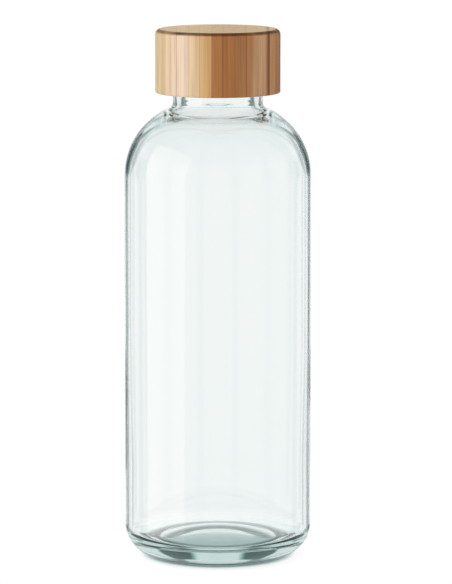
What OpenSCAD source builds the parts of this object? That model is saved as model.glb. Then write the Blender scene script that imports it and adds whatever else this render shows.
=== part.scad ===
// A glass water bottle with a screw lid. The bottle is one piece of glass with a right-hand thread
// on its finish. The lid is turned from glued bamboo slats, and holds a threaded plastic liner and
// a sealing ring. The origin is on the table at the centre of the base, with +Z up the bottle.

/* [Bottle] */
// Outside diameter of the body
body_d = 75; // [72:1:80]
// Height of the closed bottle, from the table to the top of the lid
total_h = 213; // [190:1:260]
// Outside diameter of the neck below the lid
neck_d = 36; // [36:0.1:36.6]
// Diameter of the mouth
mouth_d = 30; // [28:0.5:30.5]
// Height of neck that shows between the lid and the shoulder
neck_gap = 5.4; // [4.5:0.1:9]
// Radius of the shoulder's arc
shoulder_r = 30; // [27:1:33]
// Radius of the heel, between the wall and the base
heel_r = 12.5; // [10:0.5:15]
// Thickness of the wall below the shoulder
wall = 2; // [1.8:0.1:2.4]
// Extra thickness that the shoulder gains towards the neck
shoulder_extra = 2.5; // [1:0.5:3]
// Thickness of the wall where it meets the base
foot_wall = 2.5; // [2.4:0.1:3.8]
// Height of the inside floor at its edge
base_t = 7.5; // [7:0.5:9]
// Rise of the inside floor towards its middle
floor_rise = 3; // [2:0.5:4]
// Height of the hollow under the base
push_up = 3.5; // [1.5:0.1:4]
// Width of the ring that the bottle stands on
ring_w = 2.5; // [2:0.1:4]

/* [Lid] */
// Outside diameter of the lid
lid_d = 50; // [49:1:56]
// Height of the lid
lid_h = 25.5; // [25:0.5:30]
// Radius of the lid's top edge
lid_edge_r = 2.2; // [1:0.1:3]
// Thickness of the bamboo over the liner
lid_top_t = 5; // [4:0.5:7]
// Thickness of one bamboo slat
slat_t = 4.6; // [4.6:0.1:5]
// Thickness of the liner's wall
liner_t = 1.4; // [1.2:0.1:1.8]
// Thickness of the sealing ring
seal_t = 1.6; // [1.2:0.1:2]

/* [Thread] */
// Rise of the lid in one turn
pitch = 4.2; // [4:0.1:4.5]
// Turns of thread on the glass and in the liner
thread_turns = 1.5; // [1:0.25:1.5]
// Height of the thread above the wall that carries it
thread_h = 1.2; // [1:0.1:1.3]

/* [Hidden] */
$fn = 96;
body_r = body_d / 2;
neck_r = neck_d / 2;
mouth_r = mouth_d / 2;
lid_r = lid_d / 2;
lid_z = total_h - lid_h;

// The finish, which is the part of the neck that the lid covers
finish_r = neck_r - 0.5;
rim_r = 1;
bead_r = 1.2;
bead_sink = 0.3;
bead_z = lid_z + 3;

// The lid's inside, from the top down
lid_ceiling_z = total_h - lid_top_t;
liner_ceiling_z = lid_ceiling_z - liner_t;
seal_gap = 0.05; // left open until the lid is tightened on the ring
rim_z = liner_ceiling_z - seal_t - seal_gap;
liner_z = lid_z + 0.6;
liner_in_r = finish_r + 1.75;
liner_out_r = liner_in_r + liner_t;
rib_count = 24;
rib_w = 0.8;
rib_h = 0.3;
bore_r = liner_out_r + rib_h + 0.1;
lid_foot_r = 0.6;
seal_r = liner_in_r - 0.35;
seal_in_r = mouth_r + 0.3;
lip_h = 0.6;
lip_w = 0.75;

// The shoulder, and the fillet that joins it to the neck
shoulder_x = body_r - shoulder_r;
shoulder_z = lid_z - neck_gap - sqrt(pow(shoulder_r, 2) - pow(neck_r - shoulder_x, 2));
fillet_r = 2;
inner_fillet_r = 7;
inner_shoulder_x = shoulder_x + shoulder_extra;
inner_shoulder_r = shoulder_r - wall - shoulder_extra;
overlap = 1;

// The inside of the base
foot_z = 34;
taper_z = 80;
foot_r = body_r - foot_wall;
stand_r = body_r - heel_r;
hollow_r = stand_r - ring_w;
hollow_ball_r = (pow(push_up, 2) + pow(hollow_r, 2)) / (2 * push_up);

// The inside floor: part of a ball that touches the inner heel's arc
inner_heel_r = 5;
inner_heel_x = foot_r - inner_heel_r;
inner_heel_z = base_t + inner_heel_r;
floor_ball_r = (pow(inner_heel_x, 2) + pow(floor_rise, 2)) / (2 * floor_rise) - inner_heel_r;
floor_ball_z = base_t + floor_rise - floor_ball_r;

// The thread: a ridge on the glass, and one in the liner a little under it
steps_per_turn = 72;
thread_fade = 0.12;
thread_root = 0.4;
glass_thread_z = rim_z - 2.2 - pitch * thread_turns;
liner_thread_z = glass_thread_z - 1.62;

// The slats, counted from -X; slat_x is a glue line beside the lid's middle
slat_x = 2.1;
slat_min = 1; // a narrower strip at the side stays on its neighbour
slat_first = -ceil((lid_r + slat_x - slat_min) / slat_t);
slat_count = ceil((lid_r - slat_x - slat_min) / slat_t) - slat_first;
bamboo_pale = [0.90, 0.82, 0.70];
bamboo_tan = [0.80, 0.68, 0.47];
bamboo_brown = [0.64, 0.44, 0.27];
slat_names = [for (i = [1:slat_count]) str("cap_slat_", i < 10 ? "0" : "", i)];

// Centre of a fillet that touches a vertical wall at radius x from outside, and a shoulder's arc
function touching_centre(x, fillet, arc_x, arc_r) =
    [x + fillet, shoulder_z + sqrt(pow(arc_r + fillet, 2) - pow(x + fillet - arc_x, 2))];

// The point at this distance from the arc's centre, on the way to the fillet's centre
function towards(centre, arc_x, distance) =
    let (middle = [arc_x, shoulder_z])
    middle + distance * (centre - middle) / norm(centre - middle);

// How far the ridge stands out, from 0 at its ends to 1, at a share t of its length
function fade(t) = min(1, t / thread_fade, (1 - t) / thread_fade);

// Fills the corner between a vertical wall, a shoulder's arc and the fillet that joins them
module neck_corner(wall_r, fillet, arc_x, arc_r) {
    centre = touching_centre(wall_r, fillet, arc_x, arc_r);
    difference() {
        polygon([
            [0, shoulder_z], towards(centre, arc_x, arc_r - overlap), centre,
            [wall_r - overlap, centre.y], [0, centre.y],
        ]);
        translate(centre) circle(fillet);
    }
}

// The shoulder's disc, cut off at the bottle's axis
module shoulder_disc(arc_x, arc_r) {
    intersection() {
        translate([arc_x, shoulder_z]) circle(arc_r);
        translate([0, shoulder_z - arc_r]) square(2 * arc_r);
    }
}

// A helical ridge from a wall of radius wall_r out or in to crest_r, rising from z
module thread_ridge(wall_r, crest_r, base_w, crest_w, z) {
    out = sign(crest_r - wall_r);
    root_r = wall_r - out * thread_root;
    steps = round(steps_per_turn * thread_turns);
    function ring(i) =
        let (
            t = i / steps,
            a = 360 * thread_turns * t,
            middle = z + pitch * thread_turns * t,
            r = wall_r - out * thread_root / 2 + out * (thread_h + thread_root / 2) * fade(t),
            outline = [[root_r, -base_w / 2], [r, -crest_w / 2], [r, crest_w / 2], [root_r, base_w / 2]]
        )
        [for (k = [0:3])
            let (p = outline[out > 0 ? 3 - k : k])
            [p.x * cos(a), p.x * sin(a), middle + p.y]];
    polyhedron(
        points = [for (i = [0:steps]) each ring(i)],
        faces = concat(
            [[0, 1, 2], [0, 2, 3]],
            [for (i = [0:steps - 1], k = [0:3], half = [0, 1])
                let (a = 4 * i + k, b = 4 * i + (k + 1) % 4)
                half == 0 ? [a, a + 4, b + 4] : [a, b + 4, b]],
            [[4 * steps, 4 * steps + 2, 4 * steps + 1], [4 * steps, 4 * steps + 3, 4 * steps + 2]]
        )
    );
}

// Outside of the glass, with no cavity
module glass_outline() {
    difference() {
        union() {
            square([stand_r, 2 * heel_r]);
            translate([stand_r, heel_r]) circle(heel_r);
            translate([0, heel_r]) square([body_r, shoulder_z - heel_r]);
            shoulder_disc(shoulder_x, shoulder_r);
            neck_corner(neck_r, fillet_r, shoulder_x, shoulder_r);
            translate([0, shoulder_z]) square([neck_r, bead_z - shoulder_z]);
            translate([neck_r - bead_sink, bead_z]) circle(bead_r);
            translate([0, shoulder_z]) square([finish_r, rim_z - rim_r - shoulder_z]);
            translate([0, shoulder_z]) square([finish_r - rim_r, rim_z - shoulder_z]);
            translate([finish_r - rim_r, rim_z - rim_r]) circle(rim_r);
        }
        translate([0, push_up - hollow_ball_r]) circle(hollow_ball_r);
    }
}

// Fills the inside floor from the axis to the point where it meets the inner heel's arc
module floor_wedge() {
    difference() {
        polygon([
            [0, floor_ball_z], [inner_heel_x, inner_heel_z],
            [inner_heel_x, inner_heel_z + overlap], [0, inner_heel_z + overlap],
        ]);
        translate([0, floor_ball_z]) circle(floor_ball_r);
    }
}

// Space inside the glass, open at the mouth
module cavity_outline() {
    difference() {
        union() {
            floor_wedge();
            translate([inner_heel_x, inner_heel_z]) circle(inner_heel_r);
            polygon([
                [0, inner_heel_z], [foot_r, inner_heel_z], [foot_r, foot_z], [body_r - wall, taper_z],
                [body_r - wall, shoulder_z], [0, shoulder_z],
            ]);
            shoulder_disc(inner_shoulder_x, inner_shoulder_r);
            neck_corner(mouth_r, inner_fillet_r, inner_shoulder_x, inner_shoulder_r);
            translate([0, shoulder_z]) square([mouth_r, rim_z - shoulder_z]);
            translate([0, rim_z - rim_r]) square([mouth_r + rim_r, 2 * rim_r]);
        }
        translate([mouth_r + rim_r, rim_z - rim_r]) circle(rim_r);
    }
}

module glass_bottle() {
    color([0.85, 0.93, 0.91, 0.4]) union() {
        rotate_extrude() difference() {
            glass_outline();
            cavity_outline();
        }
        thread_ridge(finish_r, finish_r + thread_h, 2.4, 1, glass_thread_z);
    }
}

// Sealing ring, between the glass rim and the liner
module seal_ring() {
    color("whitesmoke") translate([0, 0, liner_ceiling_z - seal_t]) difference() {
        cylinder(r = seal_r, h = seal_t);
        translate([0, 0, -1]) cylinder(r = seal_in_r, h = seal_t + 2);
    }
}

// Threaded cup inside the lid, with a lip that holds the sealing ring and ribs that grip the glue
module cap_liner() {
    color("ivory") union() {
        rotate_extrude() polygon([
            [0, liner_ceiling_z], [liner_in_r, liner_ceiling_z], [liner_in_r, rim_z],
            [liner_in_r - lip_w, rim_z - 0.1], [liner_in_r - lip_w, rim_z - lip_h / 2],
            [liner_in_r, rim_z - lip_h - 0.3], [liner_in_r, liner_z + 0.4], [liner_in_r + 0.4, liner_z],
            [liner_out_r, liner_z], [liner_out_r, lid_ceiling_z], [0, lid_ceiling_z],
        ]);
        thread_ridge(liner_in_r, liner_in_r - thread_h, 2, 0.8, liner_thread_z);
        for (i = [0:rib_count - 1]) rotate(i * 360 / rib_count)
            translate([liner_out_r - 0.3, -rib_w / 2, liner_z + 2])
                cube([rib_h + 0.3, rib_w, lid_ceiling_z - liner_z - 3]);
    }
}

// The whole turned cap, before it is divided into slats
module turned_cap() {
    rotate_extrude() difference() {
        union() {
            translate([0, lid_z + lid_foot_r]) square([lid_r, lid_h - lid_foot_r - lid_edge_r]);
            translate([0, lid_z]) square([lid_r - lid_foot_r, lid_h - lid_edge_r]);
            translate([0, lid_z + lid_foot_r]) square([lid_r - lid_edge_r, lid_h - lid_foot_r]);
            translate([lid_r - lid_foot_r, lid_z + lid_foot_r]) circle(lid_foot_r);
            translate([lid_r - lid_edge_r, total_h - lid_edge_r]) circle(lid_edge_r);
        }
        translate([0, lid_z - 1]) square([bore_r, lid_ceiling_z - lid_z + 1]);
    }
}

// One bamboo slat of the cap, with its grain along Z and its glue faces across X
module cap_slat(i) {
    share = i / (slat_count - 1);
    left = i == 0 ? -lid_r - 1 : slat_x + (slat_first + i) * slat_t;
    right = i == slat_count - 1 ? lid_r + 1 : slat_x + (slat_first + i + 1) * slat_t;
    color(share < 0.25 ? bamboo_pale : share < 0.45 ? bamboo_tan : bamboo_brown) intersection() {
        turned_cap();
        translate([left, -lid_r - 1, lid_z - 1]) cube([right - left, lid_d + 2, lid_h + 2]);
    }
}

glass_bottle();
seal_ring();
cap_liner();
for (i = [0:slat_count - 1]) cap_slat(i);
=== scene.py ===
"""The looks of a glass water bottle with a bamboo screw lid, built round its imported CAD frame.

The CAD holds the bottle, the lid's slats, the liner and the sealing ring. This script redraws the glass
as one smooth closed surface, so that light bends through it as it does through blown glass. It gives
every other piece its material, and sets the camera, the floor and the studio light.
Lengths are in metres, and colours are linear.
"""
import math

import bmesh
import bpy
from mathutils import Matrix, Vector


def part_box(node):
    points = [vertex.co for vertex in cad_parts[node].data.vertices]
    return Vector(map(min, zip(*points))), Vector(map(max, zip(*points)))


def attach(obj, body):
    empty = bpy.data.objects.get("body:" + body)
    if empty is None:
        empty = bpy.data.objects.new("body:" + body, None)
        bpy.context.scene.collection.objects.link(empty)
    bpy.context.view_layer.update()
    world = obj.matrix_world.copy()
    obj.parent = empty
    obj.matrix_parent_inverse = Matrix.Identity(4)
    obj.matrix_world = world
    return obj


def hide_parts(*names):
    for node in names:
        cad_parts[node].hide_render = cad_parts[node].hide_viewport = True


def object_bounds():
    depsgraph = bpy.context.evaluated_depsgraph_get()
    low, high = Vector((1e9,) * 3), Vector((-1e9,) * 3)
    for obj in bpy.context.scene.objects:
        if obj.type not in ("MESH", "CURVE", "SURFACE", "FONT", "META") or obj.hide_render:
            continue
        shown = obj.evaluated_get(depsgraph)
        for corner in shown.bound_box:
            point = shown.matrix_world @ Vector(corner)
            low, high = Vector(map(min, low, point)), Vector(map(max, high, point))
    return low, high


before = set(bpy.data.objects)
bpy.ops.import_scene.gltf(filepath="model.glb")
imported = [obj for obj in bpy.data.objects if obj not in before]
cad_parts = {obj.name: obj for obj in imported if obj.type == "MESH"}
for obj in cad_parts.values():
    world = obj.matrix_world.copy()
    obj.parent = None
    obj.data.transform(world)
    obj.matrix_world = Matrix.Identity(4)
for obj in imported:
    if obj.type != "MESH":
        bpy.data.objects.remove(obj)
CAD_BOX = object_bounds()
MM = 0.001
WHITE = (1, 1, 1, 1)

# ---- Sizes: read from the frame, or repeated from the design where the frame can't say ----
GLASS_TOP_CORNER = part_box("glass_bottle")[1]
BODY_R = GLASS_TOP_CORNER.x
RIM_Z = GLASS_TOP_CORNER.z
SLATS = sorted(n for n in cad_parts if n.startswith("cap_slat_"))
LID_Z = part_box(SLATS[0])[0].z
LID_TOP_Z = CAD_BOX[1].z
LID_EDGE_R = 2.2 * MM

# The neck, and the finish that the lid covers, with its transfer bead. The bead's arc ends at BEAD_END,
# in degrees, and the finish's wall starts FINISH_START above it. A point counts as on the finish when it
# lies no more than FINISH_SLACK inside its radius.
NECK_R = 18 * MM
MOUTH_R = 15 * MM
FINISH_R = 17.5 * MM
FINISH_SLACK = 0.2 * MM
RIM_R = 1 * MM
BEAD_R = 1.2 * MM
BEAD_RISE = 3 * MM
BEAD_SINK = 0.3 * MM
BEAD_END = 100
FINISH_START = 0.1 * MM

# The shoulder, and the fillets that join it to the neck, outside and inside
NECK_GAP = 5.4 * MM
SHOULDER_R = 30 * MM
SHOULDER_EXTRA = 2.5 * MM
NECK_FILLET_R = 2 * MM
INNER_FILLET_R = 7 * MM
SHOULDER_X = BODY_R - SHOULDER_R
SHOULDER_Z = LID_Z - NECK_GAP - math.sqrt(SHOULDER_R ** 2 - (NECK_R - SHOULDER_X) ** 2)

# The wall, the heel and the base
WALL = 2 * MM
FOOT_WALL = 2.5 * MM
FOOT_Z = 34 * MM
TAPER_Z = 80 * MM
HEEL_R = 12.5 * MM
INNER_HEEL_R = 5 * MM
BASE_T = 7.5 * MM
FLOOR_RISE = 3 * MM
PUSH_UP = 3.5 * MM
RING_W = 2.5 * MM

# The thread
PITCH = 4.2 * MM
THREAD_TURNS = 1.5
THREAD_H = 1.2 * MM
THREAD_BASE_W = 2.4 * MM
THREAD_CREST_W = 1.0 * MM
THREAD_FADE = 0.12
THREAD_TOP_GAP = 2.2 * MM
THREAD_Z = RIM_Z - THREAD_TOP_GAP - PITCH * THREAD_TURNS

# How many straight sides stand for a circle, and how near the axis a point counts as on it
AROUND = 256
FLOOR_AROUND = 96
ON_AXIS = 1e-9

# ---- Looks ----
# A noise's size is its waves per metre along x, y and z. A name that ends in _RAMP holds a ramp's four
# numbers: where it starts and ends, and what it gives there. _EDGE, _START and _SPAN hold the first two.

# Glass: its tint, the waves of its surface, and the places where it is a touch less smooth
GLASS_COLOUR = (0.98, 0.996, 0.992)
GLASS_IOR = 1.52
GLASS_TINT = (0.45, 0.675, 0.65, 1)
GLASS_DENSITY = 13
GLASS_WAVES = (60, 60, 25)
GLASS_WAVE_DEPTH = 0.05 * MM
GLASS_SMEARS = (220, 220, 90)
GLASS_HAZE_RAMP = (0.45, 0.75, 0, 0.02)

# Bamboo: colours, and each slat's tones at its left and right glue line
STRAW = (0.61, 0.46, 0.27)
CREAM = (0.70, 0.53, 0.34)
BLUSH = (0.76, 0.58, 0.43)
TAN = (0.65, 0.44, 0.23)
HONEY = (0.74, 0.48, 0.23)
GOLD = (0.60, 0.34, 0.14)
COPPER = (0.41, 0.17, 0.056)
AMBER = (0.39, 0.15, 0.046)
BROWN = (0.36, 0.14, 0.045)
OLIVE = (0.39, 0.165, 0.06)
HAZEL = (0.55, 0.30, 0.15)
FAWN = (0.58, 0.31, 0.16)
RUST = (0.52, 0.235, 0.077)
UMBER = (0.31, 0.10, 0.035)
SLAT_TONES = [
    (STRAW, STRAW), (CREAM, BLUSH), (BLUSH, BLUSH), (CREAM, TAN), (HONEY, GOLD), (COPPER, AMBER),
    (AMBER, BROWN), (BROWN, OLIVE), (OLIVE, HAZEL), (FAWN, FAWN), (RUST, UMBER),
]
TONE_DRIFT_RAMP = (0.3, 0.7, -0.3, 0.3)

# The grain, and how far the pattern moves on from one slat to the next
STREAKS = (450, 450, 9)
FIBRES = (2200, 2200, 40)
DRIFT = (160, 160, 14)
BUNDLES = (1500, 1500, 26)
SLAT_STEP = (0.013, 0.029, 0.017)
BUNDLE_RAMP = (0.16, 0.34, 1, 0)
STREAK_SHADE_RAMP = (0.3, 0.7, 0.86, 1.1)
FIBRE_SHADE_RAMP = (0.25, 0.75, 0.94, 1.05)
BUNDLE_SHADE_RAMP = (0, 1, 1.02, 0.84)
FIBRE_RELIEF = 0.6
BUNDLE_RELIEF = 0.35
GRAIN_DEPTH = 0.06 * MM

# The varnish
SATIN_RAMP = (0.3, 0.7, 0.42, 0.6)
SPECULAR = 0.2
COAT = 0.06
COAT_ROUGHNESS = 0.3

# How far a glue line's shade reaches into a slat, and how dark it is in the middle of the line. The
# darker lines are on the right of these slats, counted from 0.
SEAM = (0.16 * MM, 0.82)
DARK_SEAMS = {
    1: (0.25 * MM, 0.55),
    3: (0.2 * MM, 0.65),
    5: (0.25 * MM, 0.45),
    7: (0.3 * MM, 0.6),
    9: (2.2 * MM, 0.3),
}
SEAM_TINT = (0.8, 0.36, 0.18, 1)

# The lid's turned edge, with a darker, browner band of painted shade, and the end grain on top. Heights
# are 0 where the edge's arc starts, and 1 at the top.
EDGE_START = (0.3, 0.7)
TOP_START = (0.96, 0.99)
EDGE_CLOUDS = (90, 90, 90)
PAINTED_EDGE_SHADE_RAMP = (0.35, 0.65, 0.14, 0.5)
PAINTED_EDGE_TINT = (1, 0.72, 0.48, 1)
END_TONE = (0.73, 0.48, 0.25, 1)
END_SHARE = 0.8
END_SEAM_FADE = 0.5

# Moulded plastic and rubber
MOULDED_CLOUDS = (180, 180, 180)
CLOUD_EDGE = (0.35, 0.65)
GRAIN_EDGE = (0.3, 0.7)
ROUGHNESS_SPREAD = 0.06

# The floor, with a painted shadow under the bottle in its glow and colour. Each pair of radii is where a
# change begins and ends: out of the hollow under the bottle, out of the heel's shade, and into the
# backdrop.
FLOOR_R = 0.08
FLOOR_T = MM
FLOOR_COLOUR = (0.25, 0.25, 0.25, 1)
FLOOR_SHADE = (0.03, 0.08, 0.075, 1)
FLOOR_ROUGHNESS = 0.9
FLOOR_GLOW = 0.84
PAINTED_HOLLOW_SHADE_RAMP = (19 * MM, 25 * MM, 0.5, 0.02)
SHADE_EDGE = (25 * MM, 32 * MM)
FADE_EDGE = (FLOOR_R * 0.25, FLOOR_R * 0.98)

# The surround: a panel straight behind, and one every PANEL_STEP. PANEL_EDGE is the turn from a panel's
# middle over which it gives way to a gap. Heights are the sine of the elevation.
PANEL_STEP = math.radians(45)
PANEL_EDGE = (math.radians(9), math.radians(14))
PANEL_LEVEL = 0.945
BACKDROP_LEVEL = 1.02
TOP_LEVEL = 0.55
TOP_EDGE = (0.25, 0.7)

# The gaps are widest at GAP_Z and narrow away from it. They are faint in front and dark at the back,
# which FRONT_EDGE gives as the cosine of the turn from straight behind.
GAP_Z = 0.08
GAP_TAPER_RAMP = (0.1, 0.22, 0, -math.radians(7))
FRONT_GAP = 0.15
BACK_GAP = 0.9
FRONT_EDGE = (0.1, 0.75)

# A dim place in the studio is cooler than a bright one, and the lamps are warmer. The floor's painted
# shadow takes the same cool tint.
COOL_SHADE = (0.55, 1, 0.96, 1)
COOL_SPAN = (0.2, 1)
LAMP_WARMTH = (1, 0.8, 0.75)

# The camera: a long lens a little above the bottle's middle
CAMERA_ELEVATION = math.radians(8.2)
CAMERA_DISTANCE = 1.6
CAMERA_AIM = (0, 0, 0.106)
SENSOR_MM = 36
LENS_MM = 245
CAMERA_SHIFT = (0.014, 0.0038)
CLIP = (0.01, 100)

# Each reflection inside the glass takes one bounce, and the base goes brown if they are cut short
LIGHT_BOUNCES = 32


# ---- Mesh building ----
def arc(centre, radius, start, end, steps):
    """Points on an arc in the (r, z) plane, from start to end in degrees, both ends included."""
    turns = [math.radians(start + (end - start) * i / steps) for i in range(steps + 1)]
    return [(centre[0] + radius * math.cos(a), centre[1] + radius * math.sin(a)) for a in turns]


def line(start, end, steps):
    """Points from start to end, without start and with end."""
    return [tuple(s + (e - s) * i / steps for s, e in zip(start, end)) for i in range(1, steps + 1)]


def touching(wall_r, fillet, arc_x, arc_r):
    """The fillet between an upright wall and a shoulder's arc.

    It gives the fillet's centre, and the angle in degrees at which it meets the arc.
    """
    x = wall_r + fillet
    rise = math.sqrt((arc_r + fillet) ** 2 - (x - arc_x) ** 2)
    return (x, SHOULDER_Z + rise), math.degrees(math.atan2(rise, x - arc_x))


def revolve(name, profile, around=AROUND, shift=None):
    """A closed surface of revolution. The profile runs from axis to axis; shift moves a point's radius."""
    mesh = bmesh.new()
    rings = []
    for r, z in profile:
        if r < ON_AXIS:
            rings.append([mesh.verts.new((0, 0, z))])
            continue
        ring = []
        for k in range(around):
            a = 2 * math.pi * k / around
            out = r + (shift(a, r, z) if shift else 0)
            ring.append(mesh.verts.new((out * math.cos(a), out * math.sin(a), z)))
        rings.append(ring)
    for low, high in zip(rings, rings[1:]):
        for k in range(around):
            n = (k + 1) % around
            corners = [low[k % len(low)], low[n % len(low)], high[n % len(high)], high[k % len(high)]]
            mesh.faces.new(list(dict.fromkeys(corners)))
    bmesh.ops.recalc_face_normals(mesh, faces=mesh.faces)
    for face in mesh.faces:
        face.smooth = True
    data = bpy.data.meshes.new(name)
    mesh.to_mesh(data)
    mesh.free()
    piece = bpy.data.objects.new(name, data)
    bpy.context.scene.collection.objects.link(piece)
    return piece


# ---- The glass. The last number in a call of arc or line is how many steps it takes ----
def underside():
    """From the middle of the hollow, over the ring that the bottle stands on, to the top of the heel."""
    hollow_r = BODY_R - HEEL_R - RING_W
    ball_r = (PUSH_UP ** 2 + hollow_r ** 2) / (2 * PUSH_UP)
    end = math.degrees(math.asin(hollow_r / ball_r))
    points = arc((0, PUSH_UP - ball_r), ball_r, 90, 90 - end, 24)
    points += line(points[-1], (BODY_R - HEEL_R, 0), 3)
    return points + arc((BODY_R - HEEL_R, HEEL_R), HEEL_R, -90, 0, 28)[1:]


def outer_wall(start):
    """Up the body and over the shoulder to the neck."""
    points = line(start, (BODY_R, SHOULDER_Z), 24)
    fillet, end = touching(NECK_R, NECK_FILLET_R, SHOULDER_X, SHOULDER_R)
    points += arc((SHOULDER_X, SHOULDER_Z), SHOULDER_R, 0, end, 36)[1:]
    return points + arc(fillet, NECK_FILLET_R, end - 180, -180, 10)[1:]


def neck_finish(start):
    """Up the neck, over the transfer bead, and over the rim to the mouth."""
    bead = (NECK_R - BEAD_SINK, LID_Z + BEAD_RISE)
    bead_start = -math.degrees(math.acos(BEAD_SINK / BEAD_R))
    points = line(start, (NECK_R, bead[1] + BEAD_R * math.sin(math.radians(bead_start))), 6)
    points += arc(bead, BEAD_R, bead_start, BEAD_END, 16)[1:]
    points += line(points[-1], (FINISH_R, bead[1] + BEAD_R + FINISH_START), 1)
    points += line(points[-1], (FINISH_R, RIM_Z - RIM_R), 80)
    points += arc((FINISH_R - RIM_R, RIM_Z - RIM_R), RIM_R, 0, 90, 8)[1:]
    return points + arc((MOUTH_R + RIM_R, RIM_Z - RIM_R), RIM_R, 90, 180, 8)


def inner_wall(start):
    """Down the mouth, round inside the shoulder, and down the tapering wall."""
    inner_r = SHOULDER_R - WALL - SHOULDER_EXTRA
    inner_x = SHOULDER_X + SHOULDER_EXTRA
    fillet, end = touching(MOUTH_R, INNER_FILLET_R, inner_x, inner_r)
    points = line(start, (MOUTH_R, fillet[1]), 10)
    points += arc(fillet, INNER_FILLET_R, -180, end - 180, 14)[1:]
    points += arc((inner_x, SHOULDER_Z), inner_r, end, 0, 36)[1:]
    points += line(points[-1], (BODY_R - WALL, TAPER_Z), 12)
    return points + line(points[-1], (BODY_R - FOOT_WALL, FOOT_Z), 14)


def inner_floor(start):
    """Down to the inner heel, round it, and over the domed floor to the axis."""
    foot = (BODY_R - FOOT_WALL - INNER_HEEL_R, BASE_T + INNER_HEEL_R)
    drop = INNER_HEEL_R - FLOOR_RISE
    ball_r = (foot[0] ** 2 + drop ** 2 - INNER_HEEL_R ** 2) / (2 * FLOOR_RISE)
    end = math.degrees(math.asin(foot[0] / (ball_r + INNER_HEEL_R)))
    points = line(start, (BODY_R - FOOT_WALL, foot[1]), 8)
    points += arc(foot, INNER_HEEL_R, 0, -90 - end, 24)[1:]
    return points + arc((0, BASE_T + FLOOR_RISE - ball_r), ball_r, 90 - end, 90, 24)[1:]


def glass_profile():
    """The bottle's half section, from the middle of the hollow underneath to that of the inside floor."""
    points = underside()
    for stretch in (outer_wall, neck_finish, inner_wall, inner_floor):
        points += stretch(points[-1])
    return points


def ease(t):
    """From 0 to 1, smooth at both ends."""
    t = min(1, max(0, t))
    return t * t * (3 - 2 * t)


def thread_height(a, r, z):
    """How far the thread stands out of the finish at this place. It is 0 on every other face."""
    if r < FINISH_R - FINISH_SLACK or z < LID_Z + BEAD_RISE + BEAD_R:
        return 0
    height = 0
    for turn in range(math.ceil(THREAD_TURNS)):
        t = (a / (2 * math.pi) + turn) / THREAD_TURNS
        if t > 1:
            continue
        off = abs(z - THREAD_Z - PITCH * THREAD_TURNS * t)
        side = (THREAD_BASE_W / 2 - off) / (THREAD_BASE_W / 2 - THREAD_CREST_W / 2)
        ends = min(1, t / THREAD_FADE, (1 - t) / THREAD_FADE)
        height = max(height, THREAD_H * ease(side) * ease(ends))
    return height


# ---- Materials ----
class Nodes:
    """Adds nodes to a tree. A value may be a number, a tuple or another node's output."""

    def __init__(self, tree):
        self.tree = tree

    def add(self, kind, *values, out=0, **settings):
        """Any node: its first inputs' values in order, its settings, and the output that is wanted."""
        node = self.tree.nodes.new("ShaderNode" + kind)
        for name, value in settings.items():
            setattr(node, name, value)
        for place, value in enumerate(values):
            self.put(node.inputs[place], value)
        return node.outputs[out]

    def put(self, socket, value):
        """Links an output to a socket, or sets the socket's value. None leaves it alone."""
        if isinstance(value, bpy.types.NodeSocket):
            self.tree.links.new(value, socket)
        elif value is not None:
            socket.default_value = value

    def place(self):
        """Where a point of the surface lies on its object, in metres."""
        return self.add("TexCoord", out="Object")

    def axes(self, vector):
        """The x, y and z of a vector."""
        node = self.tree.nodes.new("ShaderNodeSeparateXYZ")
        self.put(node.inputs[0], vector)
        return node.outputs

    def math(self, operation, *values):
        return self.add("Math", *values, operation=operation)

    def product(self, first, *others):
        """All the values multiplied."""
        for other in others:
            first = self.math("MULTIPLY", first, other)
        return first

    def vector(self, operation, *values, out=0):
        return self.add("VectorMath", *values, operation=operation, out=out)

    def ramp(self, value, low, high, to_low=0, to_high=1):
        """value from low..high to to_low..to_high, smooth at both ends."""
        return self.add("MapRange", value, low, high, to_low, to_high, interpolation_type="SMOOTHSTEP")

    def noise(self, where, size, detail=3):
        """Noise with this many waves per metre along each axis."""
        return self.add("TexNoise", self.vector("MULTIPLY", where, size), None, 1, detail)

    def bump(self, height, depth):
        """A normal from a height of 0 to 1 that stands for this depth in metres."""
        node = self.tree.nodes.new("ShaderNodeBump")
        node.inputs["Distance"].default_value = depth
        self.put(node.inputs["Height"], height)
        return node.outputs[0]

    def blend(self, share, first, second):
        """A number between two others."""
        return self.add("Mix", share, None, first, second, data_type="FLOAT")

    def mix(self, share, first, second):
        """A colour between two others. The Mix node's colours are its inputs 6 and 7, and its output 2."""
        node = self.tree.nodes.new("ShaderNodeMix")
        node.data_type = "RGBA"
        for place, value in ((0, share), (6, first), (7, second)):
            self.put(node.inputs[place], value)
        return node.outputs[2]


def new_material(name, colour=(1, 1, 1), roughness=0.5):
    """A new material, its node adder and its shader."""
    material = bpy.data.materials.new(name)
    material.use_nodes = True
    shader = material.node_tree.nodes["Principled BSDF"]
    shader.inputs["Base Color"].default_value = (*colour, 1)
    shader.inputs["Roughness"].default_value = roughness
    return material, Nodes(material.node_tree), shader


def glass_material():
    """Clear soda-lime glass, whose faint grey-green tint shows where the light's way through it is long.

    Its surface has the slight waviness of blown glass, and is a touch less smooth in places.
    """
    material, nodes, shader = new_material("clear_glass", GLASS_COLOUR)
    shader.inputs["IOR"].default_value = GLASS_IOR
    shader.inputs["Transmission Weight"].default_value = 1
    place = nodes.place()
    waves = nodes.noise(place, GLASS_WAVES, detail=1)
    nodes.put(shader.inputs["Normal"], nodes.bump(waves, GLASS_WAVE_DEPTH))
    smears = nodes.noise(place, GLASS_SMEARS, detail=2)
    nodes.put(shader.inputs["Roughness"], nodes.ramp(smears, *GLASS_HAZE_RAMP))
    tint = nodes.add("VolumeAbsorption", GLASS_TINT, GLASS_DENSITY)
    nodes.put(nodes.tree.nodes["Material Output"].inputs["Volume"], tint)
    return material


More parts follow.
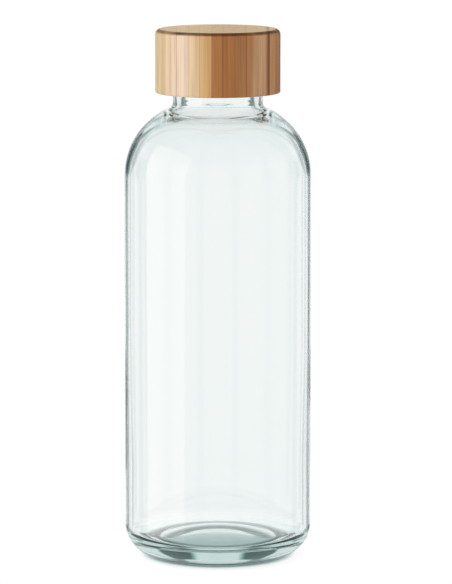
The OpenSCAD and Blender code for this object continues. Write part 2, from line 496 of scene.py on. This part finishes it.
def slat_tone(nodes, x, lo, hi, drift, tones):
    """A slat's tone, which goes unevenly from the left one of its two tones to the right one."""
    across = nodes.add("MapRange", x, lo, hi, 0, 1)
    across = nodes.math("ADD", across, nodes.ramp(drift, *TONE_DRIFT_RAMP))
    return nodes.mix(nodes.ramp(across, 0, 1), (*tones[0], 1), (*tones[1], 1))


def glue_lines(nodes, x, lo, hi, number):
    """A slat's shade beside its two glue lines."""
    width, shade = SEAM
    left = nodes.ramp(nodes.math("SUBTRACT", x, lo), 0, width, shade, 1)
    width, shade = DARK_SEAMS.get(number, SEAM)
    right = nodes.ramp(nodes.math("SUBTRACT", hi, x), 0, width, shade, 1)
    return nodes.product(left, right)


def bamboo_material(number, lo, hi, tones):
    """One slat: upright fibres, dark vascular bundles, a glue line at each side and a satin varnish.

    The sanded end grain on top is paler, and painted shade makes the turned edge round it darker and
    browner.
    """
    material, nodes, shader = new_material(f"bamboo_{number + 1:02d}")
    place = nodes.place()
    x, _, z = nodes.axes(place)
    own = nodes.vector("ADD", place, tuple(step * number for step in SLAT_STEP))
    streaks = nodes.noise(own, STREAKS, detail=4)
    fibres = nodes.noise(own, FIBRES, detail=2)
    drift = nodes.noise(own, DRIFT, detail=2)
    cells = nodes.vector("MULTIPLY", own, BUNDLES)
    bundle = nodes.ramp(nodes.add("TexVoronoi", cells, None, 1), *BUNDLE_RAMP)

    height = nodes.math("DIVIDE", nodes.math("SUBTRACT", z, LID_TOP_Z - LID_EDGE_R), LID_EDGE_R)
    on_top = nodes.ramp(height, *TOP_START)
    # The darker band on the turned edge is painted shade, made patchy by a noise
    edge = nodes.product(nodes.ramp(height, *EDGE_START), nodes.math("SUBTRACT", 1, on_top))
    painted_edge_shade = nodes.ramp(nodes.noise(place, EDGE_CLOUDS, detail=2), *PAINTED_EDGE_SHADE_RAMP)
    seam = glue_lines(nodes, x, lo, hi, number)
    seam = nodes.blend(nodes.product(on_top, END_SEAM_FADE), seam, 1.0)
    shade = nodes.product(
        seam,
        nodes.blend(edge, 1.0, painted_edge_shade),
        nodes.ramp(streaks, *STREAK_SHADE_RAMP),
        nodes.ramp(fibres, *FIBRE_SHADE_RAMP),
        nodes.ramp(bundle, *BUNDLE_SHADE_RAMP),
    )

    tone = slat_tone(nodes, x, lo, hi, drift, tones)
    tone = nodes.mix(nodes.product(on_top, END_SHARE), tone, END_TONE)
    # Painted shade also browns the turned edge
    tone = nodes.vector("MULTIPLY", tone, nodes.mix(edge, WHITE, PAINTED_EDGE_TINT))
    tone = nodes.vector("MULTIPLY", tone, nodes.mix(seam, SEAM_TINT, WHITE))
    nodes.put(shader.inputs["Base Color"], nodes.vector("SCALE", tone, None, None, shade))

    nodes.put(shader.inputs["Roughness"], nodes.ramp(fibres, *SATIN_RAMP))
    shader.inputs["Specular IOR Level"].default_value = SPECULAR
    shader.inputs["Coat Weight"].default_value = COAT
    shader.inputs["Coat Roughness"].default_value = COAT_ROUGHNESS
    raised = nodes.product(fibres, FIBRE_RELIEF)
    relief = nodes.math("SUBTRACT", raised, nodes.product(bundle, BUNDLE_RELIEF))
    nodes.put(shader.inputs["Normal"], nodes.bump(nodes.product(relief, seam), GRAIN_DEPTH))
    return material


def moulded_material(name, colour, cloud, roughness, grain, depth):
    """Moulded plastic or rubber: faint clouds of a second colour, and a fine surface grain."""
    material, nodes, shader = new_material(name)
    place = nodes.place()
    clouds = nodes.ramp(nodes.noise(place, MOULDED_CLOUDS), *CLOUD_EDGE)
    nodes.put(shader.inputs["Base Color"], nodes.mix(clouds, (*colour, 1), (*cloud, 1)))
    fine = nodes.noise(place, (grain, grain, grain), detail=2)
    spread = (roughness - ROUGHNESS_SPREAD, roughness + ROUGHNESS_SPREAD)
    nodes.put(shader.inputs["Roughness"], nodes.ramp(fine, *GRAIN_EDGE, *spread))
    nodes.put(shader.inputs["Normal"], nodes.bump(fine, depth))
    return material


# ---- The studio ----
def studio_world():
    """White backdrop, and the surround that lights the bottle: eight bright panels with gaps between them.

    Seen past a panel the glass is bright in the middle, and its edges bend the gaps into view, so they
    are dark. In front, where the gaps would only make stripes of reflection on the glass, they are faint.
    """
    world = bpy.data.worlds.new("studio")
    bpy.context.scene.world = world
    world.use_nodes = True
    nodes = Nodes(world.node_tree)
    x, y, z = nodes.axes(nodes.add("TexCoord", out="Generated"))
    turn = nodes.math("ARCTAN2", x, y)
    off_height = nodes.math("ABSOLUTE", nodes.math("SUBTRACT", z, GAP_Z))
    taper = nodes.ramp(off_height, *GAP_TAPER_RAMP)
    off_panel = nodes.math("ADD", nodes.math("PINGPONG", turn, PANEL_STEP / 2), taper)
    depth = nodes.ramp(nodes.math("COSINE", turn), *FRONT_EDGE, FRONT_GAP, BACK_GAP)
    gap = nodes.product(nodes.ramp(off_panel, *PANEL_EDGE), depth)
    level = nodes.product(nodes.math("SUBTRACT", 1, gap), PANEL_LEVEL)
    level = nodes.blend(nodes.ramp(z, *TOP_EDGE), level, TOP_LEVEL)
    light = world.node_tree.nodes["Background"]
    nodes.put(light.inputs["Color"], nodes.mix(nodes.ramp(level, *COOL_SPAN), COOL_SHADE, WHITE))
    nodes.put(light.inputs["Strength"], level)
    backdrop = nodes.add("Background", WHITE, BACKDROP_LEVEL)
    to_camera = nodes.add("LightPath", out="Is Camera Ray")
    surround = nodes.add("MixShader", to_camera, light.outputs[0], backdrop)
    nodes.put(nodes.tree.nodes["World Output"].inputs["Surface"], surround)


def area_light(name, place, aim, size, power, reflected=False):
    """A soft lamp. The glass doesn't show it, or shows only its reflection."""
    light = bpy.data.lights.new(name, "AREA")
    light.shape = "RECTANGLE"
    light.size, light.size_y = size
    light.energy = power
    light.color = LAMP_WARMTH
    lamp = bpy.data.objects.new(name, light)
    lamp.location = place
    lamp.visible_glossy = reflected
    lamp.visible_transmission = False
    lamp.rotation_euler = (Vector(aim) - Vector(place)).to_track_quat("-Z", "Y").to_euler()
    bpy.context.scene.collection.objects.link(lamp)


def floor():
    """A round white floor that fades into the backdrop, with a painted shadow under the bottle, darkest by
    the heel.
    """
    profile = [(0, 0), (FADE_EDGE[0], 0), (FLOOR_R, 0), (FLOOR_R, -FLOOR_T), (0, -FLOOR_T)]
    piece = revolve("floor", profile, FLOOR_AROUND)
    material, nodes, shader = new_material("floor", roughness=FLOOR_ROUGHNESS)
    reach = nodes.vector("LENGTH", nodes.place(), out="Value")
    # The floor's glow and colour hold a painted shadow: half glow under the hollow, nearly none under the
    # heel, cooler where dark
    hollow = nodes.ramp(reach, *PAINTED_HOLLOW_SHADE_RAMP)
    painted_shadow_glow = nodes.blend(nodes.ramp(reach, *SHADE_EDGE), hollow, 1.0)
    nodes.put(shader.inputs["Base Color"], nodes.mix(painted_shadow_glow, FLOOR_SHADE, FLOOR_COLOUR))
    nodes.put(shader.inputs["Emission Color"], nodes.mix(painted_shadow_glow, COOL_SHADE, WHITE))
    nodes.put(shader.inputs["Emission Strength"], nodes.product(painted_shadow_glow, FLOOR_GLOW))
    fade = nodes.ramp(reach, *FADE_EDGE)
    seen = nodes.add("MixShader", fade, shader.outputs["BSDF"], nodes.add("BsdfTransparent"))
    nodes.put(nodes.tree.nodes["Material Output"].inputs["Surface"], seen)
    piece.data.materials.append(material)


def camera():
    """The photograph's view, looking along +Y."""
    lens = bpy.data.cameras.new("camera")
    lens.sensor_width = SENSOR_MM
    lens.lens = LENS_MM
    lens.shift_x, lens.shift_y = CAMERA_SHIFT
    lens.clip_start, lens.clip_end = CLIP
    view = bpy.data.objects.new("camera", lens)
    back = Vector((0, -math.cos(CAMERA_ELEVATION), math.sin(CAMERA_ELEVATION)))
    view.location = Vector(CAMERA_AIM) + back * CAMERA_DISTANCE
    view.rotation_euler = (-back).to_track_quat("-Z", "Y").to_euler()
    bpy.context.scene.collection.objects.link(view)
    bpy.context.scene.camera = view


def light_paths():
    """Enough bounces for light to find its way through the thick base."""
    cycles = bpy.context.scene.cycles
    cycles.max_bounces = LIGHT_BOUNCES
    cycles.glossy_bounces = LIGHT_BOUNCES
    cycles.transmission_bounces = LIGHT_BOUNCES


def assign(node, material):
    """The CAD node keeps its shape and takes this material."""
    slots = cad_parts[node].data.materials
    slots.clear()
    slots.append(material)


# ---- Making it all ----
camera()
studio_world()
floor()
area_light("overhead", place=(-0.2, 0, 1.3), aim=(0, 0, 0), size=(1.0, 1.0), power=4)
area_light("key", place=(-0.9, -0.35, 0.25), aim=(0, 0, 0.1), size=(1.1, 1.2), power=4.6, reflected=True)

glass = revolve("glass_surface", glass_profile(), shift=thread_height)
glass.data.materials.append(glass_material())
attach(glass, "bottle")
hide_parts("glass_bottle")

for number, (node, tones) in enumerate(zip(SLATS, SLAT_TONES)):
    slat_lo, slat_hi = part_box(node)
    assign(node, bamboo_material(number, slat_lo.x, slat_hi.x, tones))
liner_plastic = moulded_material(
    "liner_plastic",
    colour=(0.8, 0.8, 0.76),
    cloud=(0.84, 0.84, 0.81),
    roughness=0.4,
    grain=1500,
    depth=0.02 * MM,
)
assign("cap_liner", liner_plastic)
silicone = moulded_material(
    "silicone",
    colour=(0.82, 0.82, 0.8),
    cloud=(0.87, 0.87, 0.85),
    roughness=0.55,
    grain=2500,
    depth=0.01 * MM,
)
assign("seal_ring", silicone)

bpy.context.scene.view_settings.view_transform = "Standard"
light_paths()
